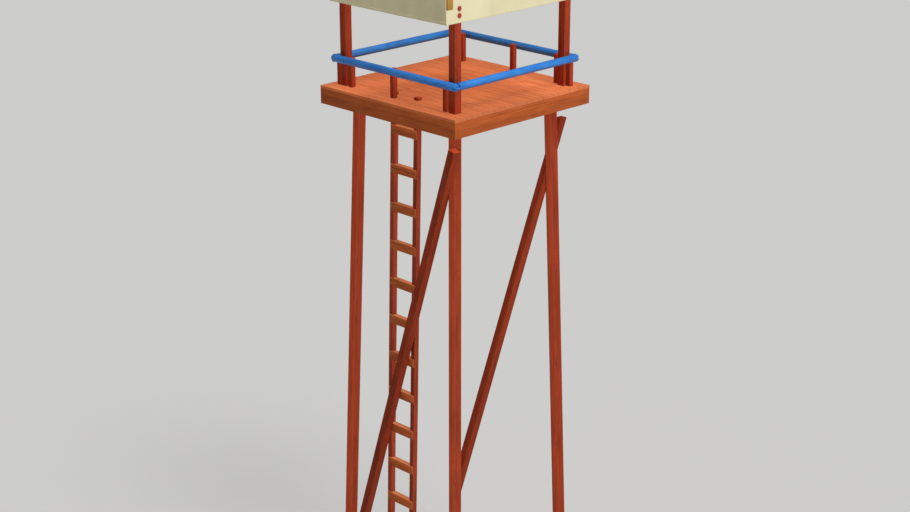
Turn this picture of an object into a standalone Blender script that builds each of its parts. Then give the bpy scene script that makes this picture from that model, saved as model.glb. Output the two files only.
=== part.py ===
"""Timber watchtower: a boarded platform on four leaning legs, with ladder, rails and canopy.

Metres, +Z up. The origin is on the ground under the middle of the platform, and the ladder
is on the front, the -Y side. Corners are named front or back, then left or right.
"""

from math import atan2, cos, hypot, pi, sin

import bmesh
import bpy
from mathutils import Matrix, Vector

# Gap between two pieces that bear on each other
SEAT = 0.0003

# Corners of the tower, as the signs of x and y
CORNERS = {
    "front_left": (-1, -1),
    "front_right": (1, -1),
    "back_right": (1, 1),
    "back_left": (-1, 1),
}

# Platform: boards across bearers and joists, with a deeper rim beam along each side
DECK_SIDE = 3.40
DECK_TOP = 10.50
BOARD_THICKNESS = 0.05
BEARER_DEPTH = 0.19
BEARER_WIDTH = 0.15
JOIST_WIDTH = 0.06
RIM_DEPTH = 0.285
RIM_THICKNESS = 0.06
BOARD_UNDERSIDE = DECK_TOP - BOARD_THICKNESS
LEG_TOP = BOARD_UNDERSIDE - BEARER_DEPTH
RIM_INSIDE = DECK_SIDE / 2 - RIM_THICKNESS

# Legs: square timbers, each face towards a diagonal, that stand wider apart at the foot
LEG_SIZE = 0.22
FOOT_SPREAD = 1.478
HEAD_SPREAD = 1.205
LEAN = (FOOT_SPREAD - HEAD_SPREAD) / LEG_TOP

# Braces: one up the front, let into the legs' outer corners, and one up the right, let into
# their inner corners. Each has, for its low and its high leg, the height at which it crosses
# the leg's axis, how far outside the axis it lies, and how far it runs on past it. The front
# one is cut level at the ground. The right one is cut level at its top, and at its foot it is
# sawn off flush with the side of the leg
FRONT_BRACE_SIZE = 0.15
FRONT_BRACE_HEIGHTS = (DECK_TOP - 10.344, DECK_TOP - 1.20)
FRONT_BRACE_OUT = (0.13, 0.19)
FRONT_BRACE_ENDS = (0.40, 0.575)
RIGHT_BRACE_SIZE = 0.145
RIGHT_BRACE_HEIGHTS = (DECK_TOP - 7.435, DECK_TOP - 1.515)
RIGHT_BRACE_OUT = (-0.10, -0.10)
RIGHT_BRACE_ENDS = (0.22, 1.10)
RIGHT_BRACE_TOP = DECK_TOP - 0.69

# Ladder: two stiles in the front leg plane, and rungs whose thinner ends are let into the
# stiles' outer faces and stop short of their far sides
STILE_WIDTH = 0.10
STILE_DEPTH = 0.10
STILE_OFFSET = 0.293
STILE_ABOVE_DECK = 0.05
STILE_HOLE_PLAY = 0.003
RUNG_HEIGHT = 0.16
RUNG_DEPTH = 0.105
RUNG_END_DEPTH = 0.045
RUNG_END_COVER = 0.082
RUNG_PROUD = 0.010
RUNG_REACH = STILE_OFFSET - STILE_WIDTH / 2 + RUNG_END_COVER
RUNG_COUNT = 14
RUNG_SPACING = 0.713
TOP_RUNG_DROP = 0.542

# Hatch: a loose panel of five of the platform's boards, flush with them, on the two joists
HATCH_WIDTH = 0.74
HATCH_FRONT = -1.02
HATCH_BACK = -0.34
HATCH_PLAY = 0.003

# Main posts, from the platform up to the canopy frame
POST_SIZE = 0.15
POST_CENTRE = 1.365
POST_TOP = DECK_TOP + 2.00
POST_FACE = POST_CENTRE + POST_SIZE / 2

# Short posts that only carry the rails, along the front and, turned about, along the back
RAIL_POST_SIZE = 0.09
RAIL_POST_PLACES = (-1.49, -1.19, -0.108, 1.19)
RAIL_POST_CENTRE = POST_FACE - RAIL_POST_SIZE / 2
RAIL_POST_HEIGHT = 0.53

# Rails: round poles on the posts' outer faces, halved into each other where they cross
RAIL_RADIUS = 0.068
RAIL_SIDES = 24
RAIL_HEIGHT = 0.492
RAIL_CENTRE = POST_FACE + SEAT + RAIL_RADIUS
RAIL_REACH = 1.54

# Canopy frame: plates on the posts, cross beams under the plates' ends, and four hip rafters
PLATE_WIDTH = 0.12
PLATE_DEPTH = 0.12
PLATE_REACH = 1.64
PLATE_TOP = POST_TOP + PLATE_DEPTH
CROSS_WIDTH = 0.13
CROSS_DEPTH = 0.20
CROSS_OUTER = 1.642
CROSS_REACH = 1.47
HIP_WIDTH = 0.07
HIP_DEPTH = 0.11
HIP_DROP = 0.023
HIP_FOOT = 2.10

# Canopy: four gores of canvas, each a sloping panel with a skirt that hangs from its eave
CLOTH = 0.008
SKIRT_INSIDE_X = POST_FACE + SEAT
SKIRT_INSIDE_Y = CROSS_OUTER + SEAT
SKIRT_X = SKIRT_INSIDE_X + CLOTH
SKIRT_Y = SKIRT_INSIDE_Y * SKIRT_X / SKIRT_INSIDE_X
HEM = DECK_TOP + 1.55
EAVE = DECK_TOP + 2.135
APEX = DECK_TOP + 2.88
NOTCH_PLAY = 0.006

# Colours of the finishes, linear, with their roughness
HEAVY = ((0.305, 0.044, 0.019), 0.80)
POST = ((0.320, 0.047, 0.020), 0.78)
PLANK = ((0.600, 0.155, 0.060), 0.82)
RIM = ((0.470, 0.110, 0.032), 0.82)
RUNG = ((0.420, 0.120, 0.040), 0.80)
BEAM = ((0.260, 0.140, 0.026), 0.80)
PAINT = ((0.055, 0.250, 0.800), 0.45)
CANVAS = ((0.780, 0.720, 0.460), 0.92)


def clear_scene():
    for obj in list(bpy.data.objects):
        bpy.data.objects.remove(obj, do_unlink=True)


def add_object(name, shape, look):
    """Turn a bmesh into a named object with a material of its own."""
    bmesh.ops.recalc_face_normals(shape, faces=shape.faces)
    mesh = bpy.data.meshes.new(name)
    shape.to_mesh(mesh)
    shape.free()
    obj = bpy.data.objects.new(name, mesh)
    bpy.context.scene.collection.objects.link(obj)
    colour, roughness = look
    material = bpy.data.materials.new(name + "_finish")
    material.use_nodes = True
    shader = material.node_tree.nodes["Principled BSDF"]
    shader.inputs["Base Color"].default_value = (*colour, 1.0)
    shader.inputs["Roughness"].default_value = roughness
    shader.inputs["Metallic"].default_value = 0.0
    mesh.materials.append(material)
    return obj


def add_block(name, size, look):
    """A block of the given size about its own origin."""
    shape = bmesh.new()
    bmesh.ops.create_cube(shape, size=1.0)
    bmesh.ops.scale(shape, vec=size, verts=shape.verts)
    return add_object(name, shape, look)


def add_timber(name, low, high, look):
    """A straight timber between two opposite corners."""
    low = Vector(low)
    high = Vector(high)
    obj = add_block(name, high - low, look)
    obj.location = (low + high) / 2
    return obj


def add_prism(name, foot_loop, head_loop, place, look):
    """A closed solid between two loops of as many points, placed by its foot."""
    shape = bmesh.new()
    foot = [shape.verts.new(point) for point in foot_loop]
    head = [shape.verts.new(point) for point in head_loop]
    shape.faces.new(foot)
    shape.faces.new(head)
    for here in range(len(foot)):
        after = (here + 1) % len(foot)
        shape.faces.new((foot[here], foot[after], head[after], head[here]))
    obj = add_object(name, shape, look)
    obj.location = place
    return obj


def circle(radius, sides):
    """Points of a circle, with a flat side towards each axis."""
    turns = [2 * pi * (step + 0.5) / sides for step in range(sides)]
    return [(radius * cos(turn), radius * sin(turn)) for turn in turns]


def diamond(size):
    """Corners of a square that is turned to stand on one of them."""
    reach = size / 2 ** 0.5
    return [(0.0, -reach), (reach, 0.0), (0.0, reach), (-reach, 0.0)]


def rectangle(width, depth):
    x = width / 2
    y = depth / 2
    return [(-x, -y), (x, -y), (x, y), (-x, y)]


def add_leaning(name, outline, foot, shift, height, look):
    """A timber with level ends whose top lies shifted sideways from its foot."""
    foot_loop = [(x, y, 0.0) for x, y in outline]
    head_loop = [(x + shift[0], y + shift[1], height) for x, y in outline]
    return add_prism(name, foot_loop, head_loop, (*foot, 0.0), look)


def shade_round(obj):
    obj.data.shade_smooth()
    obj.data.set_sharp_from_angle(angle=pi / 5)


def as_cutter(obj):
    """Mark an object as a guide that only cuts others."""
    obj.hide_render = True
    obj.display_type = "WIRE"
    return obj


def cut(obj, cutter):
    change = obj.modifiers.new(cutter.name, "BOOLEAN")
    change.operation = "DIFFERENCE"
    change.solver = "EXACT"
    change.object = cutter


def leg_plane(turn):
    """Frame of a side's leg plane: across to the right, up the lean, and outwards.

    Turn 0 is the front, and a quarter turn is the right side.
    """
    across = Vector((1.0, 0.0, 0.0))
    up = Vector((0.0, LEAN, 1.0)).normalized()
    out = across.cross(up)
    frame = Matrix((across, up, out)).transposed().to_4x4()
    frame.translation = (0.0, -FOOT_SPREAD, 0.0)
    return Matrix.Rotation(turn, 4, "Z") @ frame


def up_the_lean(height):
    """Distance along a leg plane that reaches a height above ground."""
    return height * hypot(1.0, LEAN)


def spread_at(height):
    """Distance from the tower's middle plane to a leg's axis at a height."""
    return FOOT_SPREAD - LEAN * height


def make_legs():
    legs = {}
    for corner, (x, y) in CORNERS.items():
        foot = (x * FOOT_SPREAD, y * FOOT_SPREAD)
        step_in = FOOT_SPREAD - HEAD_SPREAD
        shift = (-x * step_in, -y * step_in)
        legs[corner] = add_leaning("leg_" + corner, diamond(LEG_SIZE), foot, shift, LEG_TOP, HEAVY)
    return legs


def make_brace(name, size, turn, heights, outs, ends, levels, legs):
    """A brace that rises to the right, seen from outside, from one leg to the next.

    It is let into both legs, and cut away below the lower level and above the upper one.
    """
    low = Vector((-spread_at(heights[0]), up_the_lean(heights[0]), outs[0]))
    high = Vector((spread_at(heights[1]), up_the_lean(heights[1]), outs[1]))
    along = (high - low).normalized()
    low = low - along * ends[0]
    high = high + along * ends[1]
    length = (high - low).length
    side = along.cross(Vector((0.0, 0.0, 1.0))).normalized()
    slant = Matrix((side, along, side.cross(along))).transposed().to_4x4()
    frame = leg_plane(turn) @ Matrix.Translation((low + high) / 2) @ slant

    brace = add_block(name, (size, length, size), POST)
    brace.matrix_world = frame
    reach = DECK_SIDE
    for side, bottom in (("below", levels[0] - reach), ("above", levels[1])):
        near = (-reach, -reach, bottom)
        far = (reach, reach, bottom + reach)
        cut(brace, as_cutter(add_timber(f"{name}_{side}", near, far, POST)))

    seat_size = (size + 2 * SEAT, length + 2 * SEAT, size + 2 * SEAT)
    seat = as_cutter(add_block(name + "_seat", seat_size, POST))
    seat.matrix_world = frame
    for leg in legs:
        cut(leg, seat)
    return brace


def saw_off_at_leg(brace, corner, height):
    """Cut a brace away where it runs out past the side of the leg that it is let into."""
    x, y = CORNERS[corner]
    away = Vector((-x, y, 0.0)).normalized()
    reach = DECK_SIDE
    leg = Vector((x, y, 0.0)) * spread_at(height) + Vector((0.0, 0.0, height))
    waste = as_cutter(add_block(brace.name + "_past_leg", (reach, reach, reach), POST))
    turn = Matrix.Rotation(pi / 4, 4, "Z")
    waste.matrix_world = Matrix.Translation(leg + away * (LEG_SIZE / 2 + reach / 2)) @ turn
    cut(brace, waste)


def make_braces(legs):
    make_brace(
        "brace_front",
        FRONT_BRACE_SIZE,
        0.0,
        FRONT_BRACE_HEIGHTS,
        FRONT_BRACE_OUT,
        FRONT_BRACE_ENDS,
        (0.0, DECK_TOP),
        (legs["front_left"], legs["front_right"]),
    )
    brace_right = make_brace(
        "brace_right",
        RIGHT_BRACE_SIZE,
        pi / 2,
        RIGHT_BRACE_HEIGHTS,
        RIGHT_BRACE_OUT,
        RIGHT_BRACE_ENDS,
        (0.0, RIGHT_BRACE_TOP),
        (legs["front_right"], legs["back_right"]),
    )
    saw_off_at_leg(brace_right, "front_right", RIGHT_BRACE_HEIGHTS[0])


def make_ladder():
    stile_top = DECK_TOP + STILE_ABOVE_DECK
    section = rectangle(STILE_WIDTH, STILE_DEPTH)
    stiles = []
    for side, x in (("left", -STILE_OFFSET), ("right", STILE_OFFSET)):
        shift = (0.0, LEAN * stile_top)
        stiles.append(add_leaning("ladder_stile_" + side, section, (x, -FOOT_SPREAD), shift, stile_top, POST))

    plane = leg_plane(0.0)
    face = STILE_DEPTH / 2 + RUNG_PROUD
    seat_size = (2 * RUNG_REACH + 2 * SEAT, RUNG_HEIGHT + 2 * SEAT, RUNG_END_DEPTH + 2 * SEAT)
    for count in range(RUNG_COUNT):
        number = RUNG_COUNT - count
        top = DECK_TOP - TOP_RUNG_DROP - RUNG_SPACING * count
        height = up_the_lean(top - RUNG_HEIGHT / 2)
        rung = add_rung(f"rung_{number:02d}")
        rung.matrix_world = plane @ Matrix.Translation((0.0, height, face))
        seat = as_cutter(add_block(f"rung_seat_{number:02d}", seat_size, RUNG))
        seat.matrix_world = plane @ Matrix.Translation((0.0, height, face - RUNG_END_DEPTH / 2))
        for stile in stiles:
            cut(stile, seat)


def add_rung(name):
    """A rung seen from above: thin at its ends, and deep between the stiles' inner faces."""
    inner = STILE_OFFSET - STILE_WIDTH / 2 - SEAT
    half_height = RUNG_HEIGHT / 2
    outline = [
        (-RUNG_REACH, 0.0),
        (-RUNG_REACH, -RUNG_END_DEPTH),
        (-inner, -RUNG_END_DEPTH),
        (-inner, -RUNG_DEPTH),
        (inner, -RUNG_DEPTH),
        (inner, -RUNG_END_DEPTH),
        (RUNG_REACH, -RUNG_END_DEPTH),
        (RUNG_REACH, 0.0),
    ]
    lower = [(x, -half_height, z) for x, z in outline]
    upper = [(x, half_height, z) for x, z in outline]
    return add_prism(name, lower, upper, (0.0, 0.0, 0.0), RUNG)


def make_deck():
    edge = DECK_SIDE / 2
    rim_top = BOARD_UNDERSIDE - SEAT
    rim_bottom = BOARD_UNDERSIDE - RIM_DEPTH
    inside = RIM_INSIDE - SEAT
    for side, y in (("front", -1), ("back", 1)):
        near, far = sorted((y * RIM_INSIDE, y * edge))
        add_timber("rim_" + side, (-edge, near, rim_bottom), (edge, far, rim_top), RIM)
    joist_middle = STILE_OFFSET + STILE_WIDTH / 2 + SEAT + JOIST_WIDTH / 2
    for side, x in (("left", -1), ("right", 1)):
        near, far = sorted((x * RIM_INSIDE, x * edge))
        add_timber("rim_" + side, (near, -inside, rim_bottom), (far, inside, rim_top), RIM)
        for piece, middle, width in (
            ("bearer_", x * HEAD_SPREAD, BEARER_WIDTH),
            ("joist_", x * joist_middle, JOIST_WIDTH),
        ):
            low = (middle - width / 2, -inside, LEG_TOP + SEAT)
            high = (middle + width / 2, inside, BOARD_UNDERSIDE - SEAT)
            add_timber(piece + side, low, high, RIM)

    boards = add_timber("deck_boards", (-edge, -edge, BOARD_UNDERSIDE), (edge, edge, DECK_TOP), PLANK)
    through = BOARD_THICKNESS
    half_hole_x = STILE_WIDTH / 2 + STILE_HOLE_PLAY
    half_hole_y = STILE_DEPTH / 2 + STILE_HOLE_PLAY
    hole_y = -spread_at(DECK_TOP - BOARD_THICKNESS / 2)
    for side, x in (("left", -STILE_OFFSET), ("right", STILE_OFFSET)):
        low = (x - half_hole_x, hole_y - half_hole_y, BOARD_UNDERSIDE - through)
        high = (x + half_hole_x, hole_y + half_hole_y, DECK_TOP + through)
        cut(boards, as_cutter(add_timber("stile_hole_" + side, low, high, PLANK)))
    low = (-HATCH_WIDTH / 2, HATCH_FRONT, BOARD_UNDERSIDE - through)
    high = (HATCH_WIDTH / 2, HATCH_BACK, DECK_TOP + through)
    cut(boards, as_cutter(add_timber("hatch_hole", low, high, PLANK)))

    half_lid = HATCH_WIDTH / 2 - HATCH_PLAY
    low = (-half_lid, HATCH_FRONT + HATCH_PLAY, BOARD_UNDERSIDE)
    high = (half_lid, HATCH_BACK - HATCH_PLAY, DECK_TOP)
    add_timber("hatch_lid", low, high, PLANK)


def add_post(name, x, y, size, top, look):
    """A square post that stands on the platform's boards."""
    low = (x - size / 2, y - size / 2, DECK_TOP + SEAT)
    high = (x + size / 2, y + size / 2, top)
    add_timber(name, low, high, look)


def make_posts():
    for corner, (x, y) in CORNERS.items():
        add_post("post_" + corner, x * POST_CENTRE, y * POST_CENTRE, POST_SIZE, POST_TOP, POST)

    rail_underside = DECK_TOP + RAIL_HEIGHT - RAIL_RADIUS - SEAT
    for side, way in (("front", 1), ("back", -1)):
        for number, place in enumerate(RAIL_POST_PLACES, start=1):
            outside_corner = abs(place) > POST_FACE
            top = rail_underside if outside_corner else DECK_TOP + RAIL_POST_HEIGHT
            x = way * place
            y = -way * RAIL_POST_CENTRE
            add_post(f"rail_post_{side}_{number}", x, y, RAIL_POST_SIZE, top, POST)


def make_rails():
    """Front and back rails keep their upper half at a crossing, the side rails their lower."""
    height = DECK_TOP + RAIL_HEIGHT
    crossing = RAIL_RADIUS + SEAT
    sides = (("front", 0), ("right", 1), ("back", 2), ("left", 3))
    loop = circle(RAIL_RADIUS, RAIL_SIDES)
    start = [(-RAIL_REACH, y, z) for y, z in loop]
    end = [(RAIL_REACH, y, z) for y, z in loop]
    for side, quarter in sides:
        turn = Matrix.Rotation(quarter * pi / 2, 4, "Z")
        rail = add_prism("rail_" + side, start, end, (0.0, 0.0, 0.0), PAINT)
        rail.matrix_world = turn @ Matrix.Translation((0.0, -RAIL_CENTRE, height))
        shade_round(rail)
        keeps_upper = quarter % 2 == 0
        for end_name, x in (("a", -RAIL_CENTRE), ("b", RAIL_CENTRE)):
            low = Vector((x - crossing, -crossing, -SEAT / 2 - RAIL_RADIUS * 2))
            high = Vector((x + crossing, crossing, SEAT / 2))
            if not keeps_upper:
                low.z = -SEAT / 2
                high.z = SEAT / 2 + RAIL_RADIUS * 2
            halving = as_cutter(add_block(f"halving_{side}_{end_name}", high - low, PAINT))
            halving.matrix_world = rail.matrix_world @ Matrix.Translation((low + high) / 2)
            cut(rail, halving)


def make_canopy_frame():
    for side, x in (("left", -1), ("right", 1)):
        middle = x * POST_CENTRE
        low = (middle - PLATE_WIDTH / 2, -PLATE_REACH, POST_TOP + SEAT)
        high = (middle + PLATE_WIDTH / 2, PLATE_REACH, PLATE_TOP)
        add_timber("plate_" + side, low, high, BEAM)
    for side, y in (("front", -1), ("back", 1)):
        near, far = sorted((y * CROSS_OUTER, y * (CROSS_OUTER - CROSS_WIDTH)))
        low = (-CROSS_REACH, near, POST_TOP - CROSS_DEPTH)
        high = (CROSS_REACH, far, POST_TOP)
        add_timber("cross_beam_" + side, low, high, BEAM)
    make_hips()


def make_hips():
    """Rafters from the plates' ends to the peak, where one pair butts against the other."""
    plan_run = hypot(SKIRT_X, SKIRT_Y)
    fall = (APEX - EAVE) / plan_run
    for corner, (x, y) in CORNERS.items():
        direction = Vector((x * SKIRT_X, y * SKIRT_Y)).normalized()
        butts = x != y
        head = SEAT if not butts else HIP_WIDTH / 2 + HIP_WIDTH / 8
        profile = []
        for run, depth in ((head, 0.0), (HIP_FOOT, 0.0), (HIP_FOOT, HIP_DEPTH), (head, HIP_DEPTH)):
            profile.append((run, APEX - HIP_DROP - fall * run - depth))
        across = Vector((-direction.y, direction.x)) * HIP_WIDTH / 2
        loops = []
        for way in (-1, 1):
            points = [direction * run + way * across for run, _ in profile]
            loops.append([(p.x, p.y, z) for p, (_, z) in zip(points, profile)])
        hip = add_prism("hip_" + corner, loops[0], loops[1], (0.0, 0.0, 0.0), BEAM)

        reach = x * POST_CENTRE
        half = PLATE_WIDTH / 2 + SEAT
        low = (reach - half, -PLATE_REACH, POST_TOP - SEAT)
        high = (reach + half, PLATE_REACH, PLATE_TOP + SEAT)
        cut(hip, as_cutter(add_timber("hip_seat_" + corner, low, high, BEAM)))


def make_canopy():
    """Four gores, mitred at the hips and corners, with the beams' ends passing two of them."""
    slope_x = atan2(APEX - EAVE, SKIRT_X)
    inner_apex = APEX - CLOTH / cos(slope_x)
    sides = (
        ("front", (0, -1)),
        ("right", (1, 0)),
        ("back", (0, 1)),
        ("left", (-1, 0)),
    )
    for side, (x, y) in sides:
        outer = gore_loop(x, y, SKIRT_X, SKIRT_Y, APEX, EAVE)
        inner_eave = inner_apex - (APEX - EAVE) * SKIRT_INSIDE_X / SKIRT_X
        inner = gore_loop(x, y, SKIRT_INSIDE_X, SKIRT_INSIDE_Y, inner_apex, inner_eave)
        clear = (x * SEAT / 2, y * SEAT / 2, 0.0)
        gore = add_gore("canopy_" + side, outer, inner, clear)
        if x:
            for end, y_end in (("front", -1), ("back", 1)):
                beam_inside = CROSS_OUTER - CROSS_WIDTH - NOTCH_PLAY
                near, far = sorted((y_end * (SKIRT_Y + CLOTH), y_end * beam_inside))
                reach = sorted((x * (SKIRT_INSIDE_X - CLOTH), x * (SKIRT_X + CLOTH)))
                low = (reach[0], near, POST_TOP - CROSS_DEPTH - NOTCH_PLAY)
                high = (reach[1], far, POST_TOP + NOTCH_PLAY)
                cut(gore, as_cutter(add_timber(f"beam_notch_{side}_{end}", low, high, CANVAS)))


def gore_loop(x, y, reach_x, reach_y, apex, eave):
    """Peak, then down one edge of the gore to the hem and up the other."""
    if x:
        left = (x * reach_x, -reach_y)
        right = (x * reach_x, reach_y)
    else:
        left = (-reach_x, y * reach_y)
        right = (reach_x, y * reach_y)
    return [
        (0.0, 0.0, apex),
        (*left, eave),
        (*left, HEM),
        (*right, HEM),
        (*right, eave),
    ]


def add_gore(name, outer, inner, place):
    shape = bmesh.new()
    skins = []
    for loop in (outer, inner):
        points = [shape.verts.new(point) for point in loop]
        peak, left_eave, left_hem, right_hem, right_eave = points
        shape.faces.new((peak, left_eave, right_eave))
        shape.faces.new((left_eave, left_hem, right_hem, right_eave))
        skins.append(points)
    for here in range(len(outer)):
        after = (here + 1) % len(outer)
        shape.faces.new((skins[0][here], skins[0][after], skins[1][after], skins[1][here]))
    gore = add_object(name, shape, CANVAS)
    gore.location = place
    return gore


clear_scene()
make_braces(make_legs())
make_ladder()
make_deck()
make_posts()
make_rails()
make_canopy_frame()
make_canopy()
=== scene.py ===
"""Looks of the timber watchtower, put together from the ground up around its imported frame."""

from math import cos, hypot, pi, radians, sin
from random import Random

import bmesh
import bpy
import numpy
from mathutils import Matrix, Vector


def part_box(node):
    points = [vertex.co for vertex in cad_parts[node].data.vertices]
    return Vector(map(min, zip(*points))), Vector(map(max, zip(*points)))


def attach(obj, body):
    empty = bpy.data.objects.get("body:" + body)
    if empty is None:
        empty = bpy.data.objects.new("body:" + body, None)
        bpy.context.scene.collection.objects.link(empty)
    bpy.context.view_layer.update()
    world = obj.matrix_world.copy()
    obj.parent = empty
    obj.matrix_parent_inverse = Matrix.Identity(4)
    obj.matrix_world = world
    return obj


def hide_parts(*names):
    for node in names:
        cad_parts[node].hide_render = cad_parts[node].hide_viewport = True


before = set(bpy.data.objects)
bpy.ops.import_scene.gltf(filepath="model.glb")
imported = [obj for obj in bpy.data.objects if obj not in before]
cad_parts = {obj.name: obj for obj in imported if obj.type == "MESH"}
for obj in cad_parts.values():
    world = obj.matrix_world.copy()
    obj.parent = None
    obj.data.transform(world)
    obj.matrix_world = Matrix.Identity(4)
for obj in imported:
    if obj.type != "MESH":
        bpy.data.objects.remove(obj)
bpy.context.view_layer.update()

deck_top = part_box("deck_boards")[1].z
deck_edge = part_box("deck_boards")[1].x


# Where the photographer stands: above the canopy's peak and well back, looking down along the
# platform's diagonal at its front right corner through a long lens.
CAMERA_LENS = 70.3
CAMERA_TILT = 19.7
CAMERA_REACH = 12.86
CAMERA_RISE = 3.254
CAMERA_SENSOR = 36.0
CAMERA_FAR = 2000.0


def add_object(name, data):
    """An object in the scene, at the origin."""
    obj = bpy.data.objects.new(name, data)
    bpy.context.scene.collection.objects.link(obj)
    return obj


half_diagonal = hypot(deck_edge, deck_edge)
camera_data = bpy.data.cameras.new("camera")
camera_data.lens = CAMERA_LENS
camera_data.sensor_width = CAMERA_SENSOR
camera_data.clip_end = CAMERA_FAR
camera = add_object("camera", camera_data)
camera.location = (
    CAMERA_REACH * half_diagonal * cos(pi / 4),
    -CAMERA_REACH * half_diagonal * sin(pi / 4),
    deck_top + CAMERA_RISE * half_diagonal,
)
camera.rotation_euler = (radians(90 - CAMERA_TILT), 0.0, radians(45))
bpy.context.scene.camera = camera


# Legs: four heavy timbers of square-sawn softwood, stained red-brown, that stand on the ground
# with their faces along the diagonals and lean in to the bearers. Their feet are splashed.
LEG_EASE = 0.009
BARE_WOOD = (0.52, 0.19, 0.085)
LEG_PALE = (0.425, 0.059, 0.020)
LEG_DEEP = (0.256, 0.033, 0.011)
MUD = (0.16, 0.12, 0.085)


def add_step(tree, kind, sources=(), **settings):
    """A node with its settings, its sockets fed by plain values or by other nodes' outputs."""
    step = tree.nodes.new(kind)
    for setting, value in settings.items():
        setattr(step, setting, value)
    for socket, source in dict(sources).items():
        if isinstance(source, bpy.types.NodeSocket):
            tree.links.new(source, step.inputs[socket])
        else:
            step.inputs[socket].default_value = source
    return step


def calculate(tree, operation, *sources):
    """One sum on values or outputs."""
    return add_step(tree, "ShaderNodeMath", enumerate(sources), operation=operation).outputs[0]


def scaled(tree, vector, sizes):
    """A vector drawn out or shortened along each of its parts."""
    sources = {0: vector, 1: sizes}
    return add_step(tree, "ShaderNodeVectorMath", sources, operation="MULTIPLY").outputs[0]


def split(tree, vector):
    """The three parts of a vector."""
    return add_step(tree, "ShaderNodeSeparateXYZ", {0: vector}).outputs


def own_place(tree):
    """Where a point lies in its piece's own coordinates."""
    return add_step(tree, "ShaderNodeTexCoord").outputs["Object"]


def noise(tree, vector, scale, detail=2.0, roughness=0.5):
    sources = {"Vector": vector, "Scale": scale, "Detail": detail, "Roughness": roughness}
    return add_step(tree, "ShaderNodeTexNoise", sources).outputs[0]


def ramped(tree, value, low, high, out_low=0.0, out_high=1.0):
    """Value taken from one range to another, softly and without going past its ends."""
    sources = enumerate((value, low, high, out_low, out_high))
    return add_step(tree, "ShaderNodeMapRange", sources, interpolation_type="SMOOTHSTEP").outputs[0]


def blended(tree, share, first, second, blend_type="MIX"):
    """Two colours mixed by a share, each a plain colour or an output."""
    first, second = ((*end, 1.0) if isinstance(end, tuple) else end for end in (first, second))
    sources = {0: share, 6: first, 7: second}
    return add_step(tree, "ShaderNodeMix", sources, data_type="RGBA", blend_type=blend_type).outputs[2]


def read_attribute(tree, name):
    return add_step(tree, "ShaderNodeAttribute", attribute_name=name).outputs["Vector"]


def start_material(name, roughness, gloss=0.12):
    """A new material with its tree and its shader."""
    material = bpy.data.materials.new(name)
    material.use_nodes = True
    tree = material.node_tree
    shader = tree.nodes["Principled BSDF"]
    shader.inputs["Roughness"].default_value = roughness
    shader.inputs["Specular IOR Level"].default_value = gloss
    return material, tree, shader


def add_bump(tree, shader, height, strength, distance):
    sources = {"Height": height, "Strength": strength, "Distance": distance}
    bump = add_step(tree, "ShaderNodeBump", sources)
    tree.links.new(bump.outputs[0], shader.inputs["Normal"])


def wood_pattern(tree, ring_scale):
    """Streaks, growth rings, fibres and drying cracks, read along each timber's own grain."""
    grain = read_attribute(tree, "grain")
    long_grain = scaled(tree, grain, (0.12, 1.0, 1.0))
    streaks = noise(tree, long_grain, 11.0, 3.0)
    fibres = noise(tree, scaled(tree, grain, (0.035, 1.0, 1.0)), 190.0, 2.0)
    sources = {"Vector": long_grain, "Scale": ring_scale}
    sources.update({"Distortion": 3.5, "Detail": 2.0, "Detail Scale": 0.6})
    rings = add_step(tree, "ShaderNodeTexWave", sources, wave_type="RINGS", rings_direction="X")
    clefts = noise(tree, scaled(tree, grain, (0.045, 1.0, 1.0)), 26.0, 1.0)
    off_middle = calculate(tree, "ABSOLUTE", calculate(tree, "SUBTRACT", clefts, 0.5))
    where = ramped(tree, noise(tree, grain, 1.7, 1.0), 0.50, 0.62)
    cracks = calculate(tree, "MULTIPLY", ramped(tree, off_middle, 0.010, 0.002), where)
    return grain, streaks, rings.outputs[1], fibres, cracks


def edge_wear(tree, grain, start, amount):
    """Share of bare wood along the long edges, broken up by noise, and share of cut end."""
    section = split(tree, read_attribute(tree, "section"))
    across, through, along = (calculate(tree, "ABSOLUTE", part) for part in section)
    at_end = ramped(tree, along, 0.9985, 0.9995)
    near_edge = ramped(tree, calculate(tree, "MINIMUM", across, through), start, 1.0)
    patches = ramped(tree, noise(tree, grain, 9.0, 4.0, 0.65), 0.42, 0.66)
    along_edges = calculate(tree, "MULTIPLY", calculate(tree, "MULTIPLY", near_edge, patches), amount)
    return along_edges, at_end


def make_wood(name, pale, deep, ring_scale=26.0, wear=0.5, wear_start=0.90, end_tone_and_light_gain=1.1, finish=None):
    """Sawn softwood under a thin stain, paler where its edges have been rubbed, its cut ends the pale
    colour times a gain that on the braces is partly a painted highlight.
    """
    material, tree, shader = start_material(name, 0.74)
    grain, streaks, rings, fibres, cracks = wood_pattern(tree, ring_scale)
    figure = calculate(tree, "MULTIPLY", streaks, 0.62)
    figure = calculate(tree, "MULTIPLY_ADD", rings, 0.20, figure)
    figure = calculate(tree, "MULTIPLY_ADD", fibres, 0.30, figure)
    colour = blended(tree, ramped(tree, figure, 0.30, 0.80), deep, pale)
    worn, at_end = edge_wear(tree, grain, wear_start, wear)
    colour = blended(tree, worn, colour, BARE_WOOD)
    # Cut ends: the stain's pale colour times a gain; a high gain is partly a painted highlight.
    cut_end = tuple(end_tone_and_light_gain * channel for channel in pale)
    colour = blended(tree, calculate(tree, "MULTIPLY", at_end, 0.8), colour, cut_end)
    dark = tuple(0.30 * channel for channel in deep)
    colour = blended(tree, calculate(tree, "MULTIPLY", cracks, 0.85), colour, dark)
    if finish:
        colour = finish(tree, colour)
    tree.links.new(colour, shader.inputs["Base Color"])
    relief = calculate(tree, "MULTIPLY", fibres, 0.45)
    relief = calculate(tree, "MULTIPLY_ADD", rings, 0.25, relief)
    relief = calculate(tree, "SUBTRACT", relief, cracks)
    add_bump(tree, shader, relief, 0.55, 0.003)
    return material


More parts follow.
